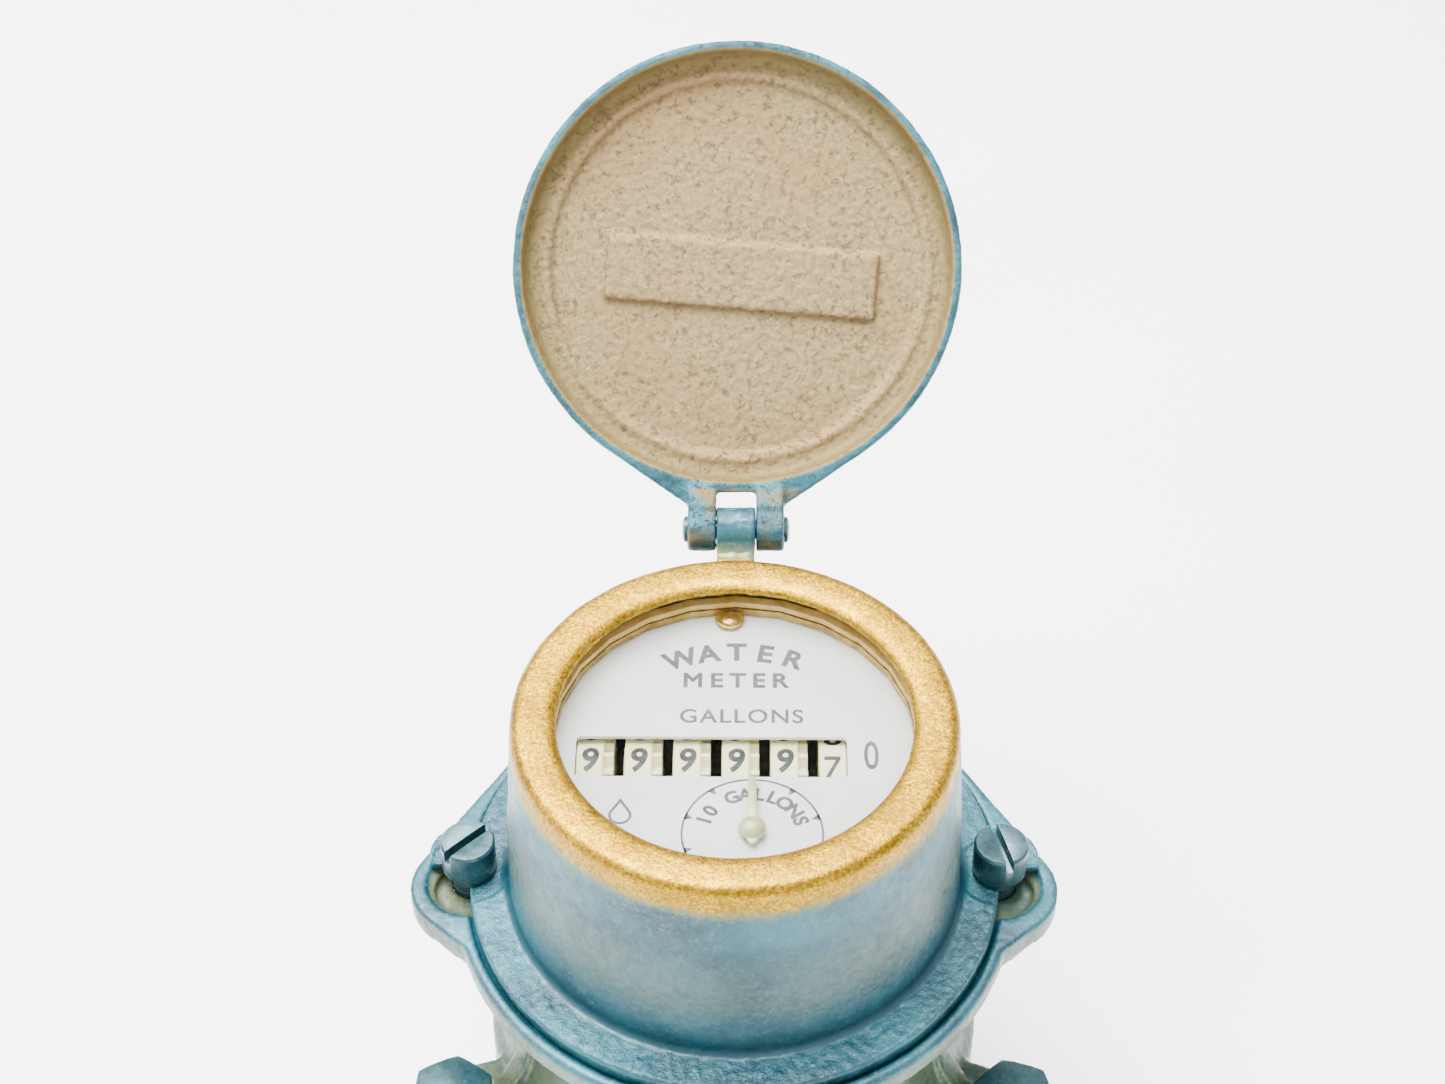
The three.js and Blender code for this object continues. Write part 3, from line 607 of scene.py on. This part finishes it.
def case_bolt(number, x, y):
    turn = {1: -4, 2: 13}.get(number, number * 37)
    block = prism(hexagon(math.radians(90 + turn)), HEAD_LOW, HEAD_HIGH)
    head = hex_body(f"bolt_head_{number}", [block], HEAD_LOW, HEAD_HIGH, True, False)
    ridges = [(5.5 - 0.45 * (i % 2), -34.6 + 0.7 * i) for i in range(27)]
    outline = [(0, -35), (4.6, -35)] + ridges + [(5.5, -15), (5.5, 0.5), (0, 0.5)]
    shank = new_object("bolt_shank", [lathe(outline, 40)])
    join = head.modifiers.new("join", "BOOLEAN")
    join.operation, join.solver, join.object = "UNION", "EXACT", shank
    apply_modifiers(head)
    bpy.data.objects.remove(shank)
    head.data.transform(Matrix.Translation((x * MM, y * MM, (SPLIT_Z + LUG_T) * MM)))
    show(smooth(head, 30), "case", SCREW, "paint", f"case_bolt_{number}")


def case_nut(number, x, y):
    nut = hex_body(f"nut_{number}", [prism(hexagon(), -NUT_H, 0)], -NUT_H, 0, False, True)
    subtract(nut, [cylinder(5.6, -9, 1)])
    nut.data.transform(Matrix.Translation((x * MM, y * MM, (CASE_TOP - LUG_T - 0.3) * MM)))
    show(smooth(nut, 30), "case", SCREW, "paint", f"case_nut_{number}")


# ---- Cases ----
def at_bolts():
    places = ((-1, FRONT_LUG), (1, FRONT_LUG), (1, REAR_LUG), (-1, REAR_LUG))
    return [(side * x, y) for side, (x, y) in places]


def lug_outline(x, y):
    """The web from the case out to the lug of the bolt at (x, y)."""
    return taper(0.62 * x, 0.62 * y, LUG_ROOT_R, x, y, LUG_R)


def top_case():
    shell = lathe(
        [
            (44, SPLIT_Z), (53.6, SPLIT_Z), (54, SPLIT_Z + 0.4), (54, 74.4), (53.4, 75.4), (51.8, 77.6),
            (49.6, 84), (47.3, 94), (46.5, 102), (47.4, 107.6), (50.8, 111.2), (58, 112.7), (59.2, 114),
            (59.2, 117.9), (58.7, 118.9), (57.7, RIM_TOP), (56.9, RIM_TOP), (56.6, 118.7), (56.6, 117.4),
            (41, 117.4), (41, 112), (9.5, 112), (9.5, 116.5), (5.5, 116.5), (5.5, 108), (2.9, 108),
            (2.9, 102), (9, 102), (11, 105.5), (34, 105.5), (39.5, 101), (41, 90), (44, 76),
        ],
    )
    ears = []
    for side in (-1, 1):
        tip = (side * EAR_X, EAR_Y, EAR_R)
        back = [corner for corner in taper(0, 0, RIM_R - 0.3, *tip) if corner[1] > EAR_Y]
        ears += [prism(shape, 112.8, RIM_TOP) for shape in (taper(side * 43, -1.5, 22, *tip), back)]
    webs = [prism(lug_outline(x, y), SPLIT_Z, SPLIT_Z + LUG_T) for x, y in at_bolts()]
    profile = [(40, 71.5), (56, 71.5), (57, 75.8), (51.6, 84), (47.6, 98), (40, 104)]
    rib = along_x(prism(profile, -2.6, 2.6))
    ribs = [moved(rib, Matrix.Rotation(math.atan2(y, x) - math.pi / 2, 4, "Z")) for x, y in at_bolts()]
    outer = new_object("top_case_lugs", [*ears, *webs, *ribs])
    subtract(outer, [
        cylinder(56.6, 117.4, 125, segments=128),
        lathe([(0, 60), (45.5, 60), (45.5, 112), (52, 113), (52, 130), (0, 130)]),
    ])
    lugs = taken_apart(outer)
    cutters = [cylinder(BOLT_HOLE_R, 60, 82, at, 24) for at in at_bolts()]
    for side in (-1, 1):
        cutters += [
            cylinder(RECESS_R, RIM_TOP - 1.3, 125, (side * RECESS_X, RECESS_Y)),
            cylinder(6.3, RIM_TOP - 3.3, 125, (side * 57.2, -3.0)),
            cylinder(3.95, 100, 125, (side * EAR_X, 0), 24),
        ]
    body = cast("top_case_casting", [shell, lugs], cutters, 0.6, 2)

    def relief(p, n):
        radius = math.hypot(p.x, p.y)
        if radius < 46 or p.z < SPLIT_Z + 0.8:
            return 0.0
        return 0.06 * grain(p, 1.7, 6) + 0.16 * grain(p, 8, 3)

    roughen(body, relief)

    def overspray(p, n):
        from_middle = math.hypot(abs(p.x) - RECESS_X, p.y - RECESS_Y)
        in_recess = step(RECESS_R + 0.4, RECESS_R - 0.4, from_middle) * step(118.9, 118.3, p.z)
        in_recess *= step(113, 114.5, p.z)
        side_wall = step(0.5, 0.1, n.z) * step(58.4, 59.0, math.hypot(p.x, p.y))
        side_wall *= step(118.6, 117.5, p.z) * step(111.5, 112.5, p.z)
        return 0.44 * step(112.5, 108, p.z) + 0.4 * in_recess + 0.36 * side_wall + 0.12 * grain(p, 12, 4)

    mask(body, "gold", overspray)

    def wear(p, n):
        radius = math.hypot(p.x, p.y)
        edge = step(58.4, 59.1, radius) * step(61.5, 60.5, radius) * step(117.2, 118.6, p.z)
        return edge * (0.25 + 0.4 * step(0.955, 0.985, (p.x - p.y) / radius / math.sqrt(2)))

    mask(body, "wear", wear)
    # Painted shade in the seat inside the rim, under the register box flange.
    mask(body, "grime", lambda p, n: 0.6 * step(57.4, 56.7, math.hypot(p.x, p.y)) * step(117, 118, p.z))
    show(body, "case", PAINT, "paint", "top_case")


def main_case():
    bowl = lathe(
        [
            (0, 0), (30.6, 0), (32.4, 0.7), (33.6, 2.4), (35.4, 6), (44, 10), (49.4, 16), (51.6, 24),
            (52.2, 38), (52.2, 49), (53.4, 52.6), (54, 54), (54, CASE_TOP - 0.4), (53.6, CASE_TOP),
            (46, CASE_TOP), (46, 19), (40, 13), (0, 13),
        ],
    )
    webs = [prism(lug_outline(x, y), CASE_TOP - LUG_T, CASE_TOP) for x, y in at_bolts()]
    pipe = [
        (BORE_R, 43), (23.8, 43), (22.9, 66), (21.4, 80), (19.9, 90), (19.5, 94), (19.5, 105.6),
        (18.6, 106.8), (16.4, 107.2), (16.4, SPUD_END - 0.6), (15.6, SPUD_END), (BORE_R, SPUD_END),
    ]
    lift = Matrix.Translation((0, 0, SPUD_Z))
    spuds = [moved(lathe(pipe, 96), lift @ Matrix.Rotation(side * math.pi / 2, 4, "X")) for side in (-1, 1)]
    trimmed = new_object("main_case_lugs", webs)
    subtract(trimmed, [cylinder(46.5, 40, 80, segments=128)])
    lugs = taken_apart(trimmed)
    bore = moved(cylinder(BORE_R, -150, 150, segments=64), lift @ Matrix.Rotation(math.pi / 2, 4, "X"))
    holes = [cylinder(BOLT_HOLE_R, 40, 80, at, 24) for at in at_bolts()]
    body = cast("main_case_casting", [bowl, *spuds, lugs], [bore, *holes], 0.9)

    def relief(p, n):
        if abs(p.y) > 106 or p.z < 1.2 or p.z > CASE_TOP - 0.6 or math.hypot(p.x, p.z - SPUD_Z) < 14:
            return 0.0
        return 0.08 * grain(p, 2.2, 6) + 0.22 * grain(p, 10, 3)

    roughen(body, relief)
    mask(body, "gold", lambda p, n: 1.0 if abs(p.y) > 107 else 0.16 + 0.12 * grain(p, 13, 4))
    mask(body, "wear", lambda p, n: 0.6 * step(53.6, 54.2, math.hypot(p.x, p.y)) * step(62.5, 64.2, p.z))
    # Painted shade at the bottom of the case, where it stands on the table.
    mask(body, "grime", lambda p, n: 0.5 * step(8, 2, p.z))
    show(body, "case", PAINT, "paint", "main_case")
    for side, name in ((-1, "inlet_thread"), (1, "outlet_thread")):
        ridges = [(16.5 - (0.85 if i % 2 else 0.0), 110 + i * 1.1) for i in range(24)]
        inside = [(15.9, SPUD_END - 0.5), (15.6, SPUD_END - 0.5), (15.6, 109.6)]
        ring = lathe([(16.2, 109.6)] + ridges + inside, 96)
        turned = moved(ring, lift @ Matrix.Rotation(-side * math.pi / 2, 4, "X"))
        show(smooth(new_object(name, [turned]), 25), "case", THREAD, "paint")


# ---- Dial ----
def text_shell(body, size, weight=0.05, slant=0.0, spread=1.0):
    """Generic lettering as a thin shell centred on the origin, size in millimetres."""
    curve = bpy.data.curves.new("lettering", "FONT")
    curve.body, curve.size, curve.align_x, curve.align_y = body, size, "CENTER", "CENTER"
    curve.bevel_depth, curve.bevel_resolution, curve.extrude = weight, 0, 0.01
    curve.shear, curve.space_character = slant, spread
    holder = bpy.data.objects.new("lettering", curve)
    bpy.context.collection.objects.link(holder)
    mesh = bpy.data.meshes.new_from_object(holder.evaluated_get(bpy.context.evaluated_depsgraph_get()))
    flat = 0.02 / (0.01 + weight)
    corners = [(v.co.x, v.co.y, v.co.z * flat) for v in mesh.vertices]
    bpy.data.objects.remove(holder)
    return corners, [list(p.vertices) for p in mesh.polygons]


def arched(word, size, x, y, radius, gap, weight):
    """Letters set round an arc whose middle is at (x, y)."""
    letters = []
    for i, letter in enumerate(word):
        if letter == " ":
            continue
        angle = (i - (len(word) - 1) / 2) * gap / radius
        place = Matrix.Translation((x, y - radius, 0)) @ Matrix.Rotation(-angle, 4, "Z")
        place = place @ Matrix.Translation((0, radius, 0))
        letters.append(moved(text_shell(letter, size, weight), place))
    return letters


def thin_ring(x, y, r, width, start, end, steps=72):
    outer, inner = arc(x, y, r + width / 2, start, end, steps), arc(x, y, r - width / 2, start, end, steps)
    return prism(outer + inner[::-1], -0.02, 0.02)


def dial():
    low = DIAL_TOP - 0.8
    outline = [(0, low), (38.3, low), (38.4, DIAL_TOP - 0.1), (38.3, DIAL_TOP), (0, DIAL_TOP)]
    plate = new_object("dial_enamel", [lathe(outline, 160)])
    last = WHEEL_X + 5 * WHEEL_PITCH + WHEEL_BAND
    window = []
    right, left = last - 1, WHEEL_X + 1
    for x, y, start in ((right, 4.3, 0), (left, 4.3, 90), (left, -4.3, 180), (right, -4.3, 270)):
        window += arc(x, WHEEL_Y + y, 1, start, start + 90, 6)
    subtract(plate, [prism(window, 150, 170), cylinder(2, 150, 170, POINTER)])
    bevel(plate, 0.12, 40, 2)
    show(smooth(plate), "case", ENAMEL, "enamel", "dial_face")
    px, py = POINTER
    print_shells = arched("WATER", 6.6, 0.3, 25.4, 34, 5.9, 0.24)
    print_shells += [moved(text_shell("METER", 5.6, 0.17, 0, 1.45), Matrix.Translation((0, 17.4, 0)))]
    print_shells += [moved(text_shell("GALLONS", 5.2, 0.09, 0, 1.14), Matrix.Translation((1.3, 7.5, 0)))]
    narrow = Matrix.Translation((27.4, -3.1, 0)) @ Matrix.Diagonal((0.62, 1, 1, 1))
    print_shells += [moved(text_shell("0", 10.4, 0.09), narrow)]
    print_shells += [thin_ring(px, py, 13.8, 0.42, -40, 220)]
    for i in range(10):
        angle = math.pi / 2 + TURN * i / 10
        if math.sin(angle) * 13.8 + py < -36:
            continue
        tick = prism([(12.2, 0), (14.0, -0.85), (14.0, 0.85)], -0.02, 0.02)
        print_shells.append(moved(tick, Matrix.Translation((px, py, 0)) @ Matrix.Rotation(angle, 4, "Z")))
    print_shells += arched("10 GALLONS", 4.2, px, py + 9.9, 9.9, 2.72, 0.17)
    drop = [(0, 4.4)] + arc(0, 0, 2.3, 35, -215, 30)
    inner = [(0, 3.2)] + arc(0, 0, 1.75, 35, -215, 30)
    line = drop + [drop[0], inner[0]] + inner[::-1]
    print_shells.append(moved(prism(line, -0.02, 0.02), Matrix.Translation((-22.5, -18.6, 0))))
    lifted = [moved(shell, Matrix.Translation((0, 0, DIAL_TOP + 0.03))) for shell in print_shells]
    show(new_object("dial_print", lifted), "case", INK, "enamel")


def pointer():
    px, py = POINTER
    dome = [(0, 161.3), (2.55, 161.3), (2.75, 161.7), (2.6, 162.5), (2.0, 163.2), (1.1, 163.6), (0, 163.75)]
    hub = lathe(dome, 48)
    blade = [(-1.2, -0.5), (-0.72, 12.9), (-0.45, 13.4), (0.45, 13.4), (0.72, 12.9), (1.2, -0.5)]
    hand = prism(blade, 161.3, 162.1)
    tail = prism(taper(0, -1.4, 1.5, 0, -3.0, 0.8), 161.3, 162.1)
    place = Matrix.Translation((px, py, 0))
    piece = new_object("gallon_pointer", [moved(shell, place) for shell in (hub, hand, tail)])
    bevel(piece, 0.16, 40, 2)
    show(smooth(piece), "pointer", PALE_GREEN, "nickel", "pointer")


def retaining_clip():
    tongue = prism(taper(-1.2, 34.7, 3.1, -1.2, 35.6, 3.1), DIAL_TOP + 0.3, DIAL_TOP + 1.2)
    crown = lathe([(0, 161.3), (2.2, 161.3), (2.0, 161.9), (1.2, 162.2), (0, 162.3)], 40, (-1.2, 34.0))
    piece = bevel(new_object("retaining_clip", [tongue, crown]), 0.2, 40, 2)
    subtract(piece, [lathe([(36.1, 150), (45, 150), (45, 170), (36.1, 170)], 96)])
    show(smooth(piece), "case", BRASS, "brass", "dial_clip")


# ---- Number wheels ----
def seven():
    """A plain open seven, built of short slices so that it wraps round a wheel."""
    slices = [(-2.1, 1.95, 3.2), (-2.1, 1.95, 2.6), (-2.1, 1.85, 2.15), (0.7, 1.8, 2.14)]
    slices += [(0.7 - 0.36 * i, 1.8 - 0.36 * i, 2.14 - 0.6 * i) for i in range(1, 9)]
    corners = []
    for left, right, v in slices:
        corners += [(left, v, -0.02), (right, v, -0.02), (right, v, 0.02), (left, v, 0.02)]
    faces = [[0, 1, 2, 3], [len(corners) - k for k in (1, 2, 3, 4)]]
    for base in range(0, len(corners) - 4, 4):
        faces += [[base + k, base + (k + 1) % 4, base + 4 + (k + 1) % 4, base + 4 + k] for k in range(4)]
    return corners, faces


def number_wheel(index, shown, lag):
    """Figure band and toothed ring; lag is how far the shown figure has still to roll, in degrees."""
    x = WHEEL_X + index * WHEEL_PITCH
    seat = Matrix.Translation((x, WHEEL_Y, WHEEL_Z))
    low, high = WHEEL_R - 0.3, WHEEL_BAND - 0.3
    outline = [(2.3, 0), (low, 0), (WHEEL_R, 0.3), (WHEEL_R, high), (low, WHEEL_BAND), (2.3, WHEEL_BAND)]
    band = lathe(outline, 120)
    cogs = prism(gear_outline(20, WHEEL_R - 3.1, WHEEL_R - 0.7), WHEEL_BAND - 0.1, WHEEL_BAND + 1.9)
    wheel = new_object(f"figure_wheel_{index + 1}", [band, cogs])
    bevel(wheel, 0.12, 50, 2)
    to_x = Matrix(((0, 0, 1, 0), (1, 0, 0, 0), (0, 1, 0, 0), (0, 0, 0, 1)))
    scale = Matrix.Diagonal((MM, MM, MM, 1))
    wheel.data.transform(scale @ seat @ to_x @ Matrix.Diagonal((1 / MM, 1 / MM, 1 / MM, 1)))
    show(smooth(wheel, 30), f"wheel_{index + 1}", CREAM, "wheel_cream", f"number_wheel_{index + 1}")
    figures = []
    for figure in range(10):
        turn = math.radians((figure - shown) * 36 - lag)
        corners, faces = seven() if figure == 7 else text_shell(str(figure), 8.6, 0.27, 0.1)
        wrapped = []
        for u, v, w in corners:
            angle = turn + v / WHEEL_R
            r = WHEEL_R + 0.02 + w
            across = x + WHEEL_BAND / 2 - 0.1 + 0.82 * u
            wrapped.append((across, WHEEL_Y + r * math.sin(angle), WHEEL_Z + r * math.cos(angle)))
        figures.append((wrapped, faces))
    show(new_object(f"figures_{index + 1}", figures), f"wheel_{index + 1}", FIGURE, "wheel_cream")


def glass():
    disc = lathe([(0, 164.2), (38.2, 164.2), (38.6, 164.6), (38.6, 166.8), (38.2, 167.2), (0, 167.2)], 160)
    show(smooth(new_object("register_glass", [disc])), "case", GLASS, "glass", "glass")


# ---- The whole object ----
register_box()
lid()
hinge_pin()
clamp_screw(-1, 44)
clamp_screw(1, 105)
for number, (x, y) in enumerate(at_bolts(), 1):
    case_bolt(number, x, y)
    case_nut(number, x, y)
top_case()
main_case()
dial()
pointer()
retaining_clip()
for index, figure in enumerate(SHOWN_FIGURES):
    number_wheel(index, figure, 7 if index == 5 else 0)
glass()

SLOT_FINISH = {
    "brass": BRASS, "steel": STEEL, "rubber": RUBBER, "amber_rubber": AMBER, "hard_rubber": HARD_RUBBER,
    "nickel": PALE_GREEN, "enamel": ENAMEL, "wheel_cream": CREAM, "paint": SCREW, "bronze": BRASS,
    "lid_bronze": LID, "glass": GLASS,
}
for part in frame["record"]["subparts"]:
    node = frame["nodes"][part["node"]]
    node.data.materials.clear()
    node.data.materials.append(SLOT_FINISH[part["material_slot"]])
# The pale plate paints light into the shaded gaps between the number wheels.
frame["nodes"]["register_plate"].data.materials[0] = PAINTED_LIGHT_PLATE


# ---- Stage, light and camera ----
def backdrop():
    finish = plain("pale_table", (0.96, 0.96, 0.955), (0.945, 0.945, 0.94), 0.55, 0, 60, 0.0)
    floor = new_object("floor", [box(-6000, 6000, -4000, 8000, -20, 0)])
    floor.data.materials.append(finish)


def light(name, size, power, place, target=(0, 0, 0.14)):
    lamp = bpy.data.lights.new(name, "AREA")
    lamp.shape, lamp.size, lamp.energy = "DISK", size, power
    holder = bpy.data.objects.new(name, lamp)
    holder.location = place
    aim = Vector(target) - Vector(place)
    holder.rotation_euler = aim.to_track_quat("-Z", "Y").to_euler()
    bpy.context.collection.objects.link(holder)


backdrop()
world = bpy.data.worlds.new("studio")
world.use_nodes = True
world.node_tree.nodes["Background"].inputs["Color"].default_value = (1, 1, 0.995, 1)
world.node_tree.nodes["Background"].inputs["Strength"].default_value = 1.5
bpy.context.scene.world = world
light("overhead", 1.2, 150, (-0.3, 0.3, 1.5))
light("front", 0.7, 3, (0.5, -0.9, 0.9))
light("left", 0.6, 6, (-1.0, -0.3, 0.7))

# The camera was fitted to the circles of the ring, the flange and the lid.
lens = bpy.data.cameras.new("camera")
lens.sensor_width, lens.lens, lens.clip_end = 36, 64.4, 100
camera = bpy.data.objects.new("camera", lens)
camera.location = (0.0, -0.3464, 0.3811 + RING_TOP * MM)
camera.rotation_euler = (math.radians(90 - 43.94), 0, math.radians(0.41))
bpy.context.collection.objects.link(camera)
bpy.context.scene.camera = camera
